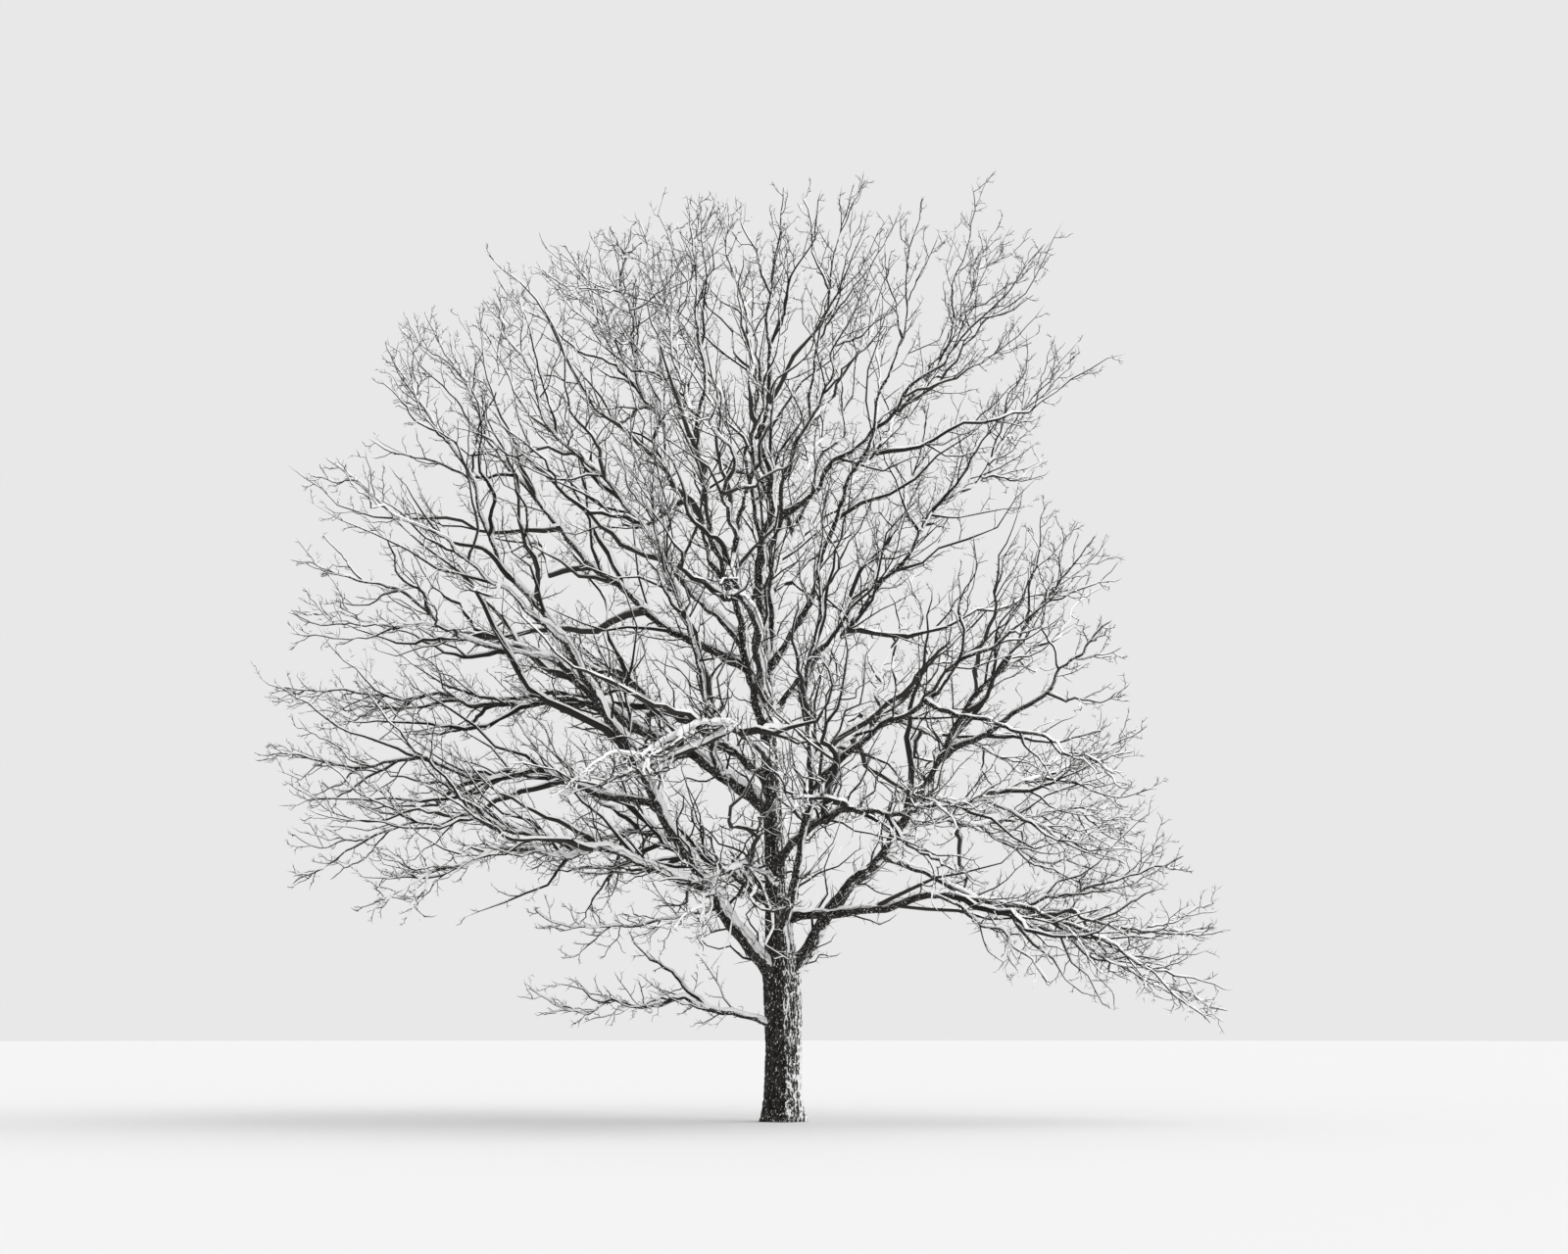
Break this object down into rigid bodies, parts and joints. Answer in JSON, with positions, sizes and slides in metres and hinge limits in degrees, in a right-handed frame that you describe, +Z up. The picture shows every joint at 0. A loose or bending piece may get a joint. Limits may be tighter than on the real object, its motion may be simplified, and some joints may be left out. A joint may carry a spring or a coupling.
{
  "type": "bare winter tree",
  "caption": "Bare open-grown broadleaf tree in winter: stout flared trunk, wide-spread boughs and a full crown of leafless twigs, with snow caught on bark and branches.",
  "frame": {"origin": "in the flat cut under the trunk, at ground level, the mount ground", "axes": "+Z up, -Y to the picture's viewer, +X to the right as seen in the picture"},
  "size_m": [17.3664, 15.8494, 16.9],
  "materials": {
    "bark": "dark grey-brown furrowed bark, matt, with snow caught in it on the right-hand side",
    "twigs": "dark grey-brown young bark, matt",
    "snow": "fresh settled snow, matt"
  },
  "bodies": {
    "root": {"trunk": "bark", "bough_back_high": "bark", "bough_back_left": "bark", "bough_back_low_left": "bark", "bough_back_right": "bark", "bough_droop_high": "bark", "bough_droop_low": "bark", "bough_front_high": "bark", "bough_front_left": "bark", "bough_front_low": "bark", "bough_front_right": "bark", "bough_leader_left": "bark", "bough_leader_mid": "bark", "bough_leader_right": "bark", "bough_left_broad": "bark", "bough_left_crest": "bark", "bough_left_high": "bark", "bough_left_low_out": "bark", "bough_left_main": "bark", "bough_left_mid": "bark", "bough_left_riser": "bark", "bough_left_upper": "bark", "bough_right_high": "bark", "bough_right_low_out": "bark", "bough_right_main": "bark", "bough_right_out": "bark", "bough_right_stem": "bark", "bough_right_sweep": "bark", "bough_right_tall": "bark", "twigs_back_high": "twigs", "twigs_back_left": "twigs", "twigs_back_low_left": "twigs", "twigs_back_right": "twigs", "twigs_droop_high": "twigs", "twigs_droop_low": "twigs", "twigs_front_high": "twigs", "twigs_front_left": "twigs", "twigs_front_low": "twigs", "twigs_front_right": "twigs", "twigs_leader_centre": "twigs", "twigs_leader_left": "twigs", "twigs_leader_mid": "twigs", "twigs_leader_right": "twigs", "twigs_left_broad": "twigs", "twigs_left_crest": "twigs", "twigs_left_high": "twigs", "twigs_left_inner": "twigs", "twigs_left_low_out": "twigs", "twigs_left_main": "twigs", "twigs_left_mid": "twigs", "twigs_left_riser": "twigs", "twigs_left_upper": "twigs", "twigs_low_left": "twigs", "twigs_right_high": "twigs", "twigs_right_low_out": "twigs", "twigs_right_main": "twigs", "twigs_right_out": "twigs", "twigs_right_stem": "twigs", "twigs_right_sweep": "twigs", "twigs_right_tall": "twigs"}
  },
  "joints": []
}
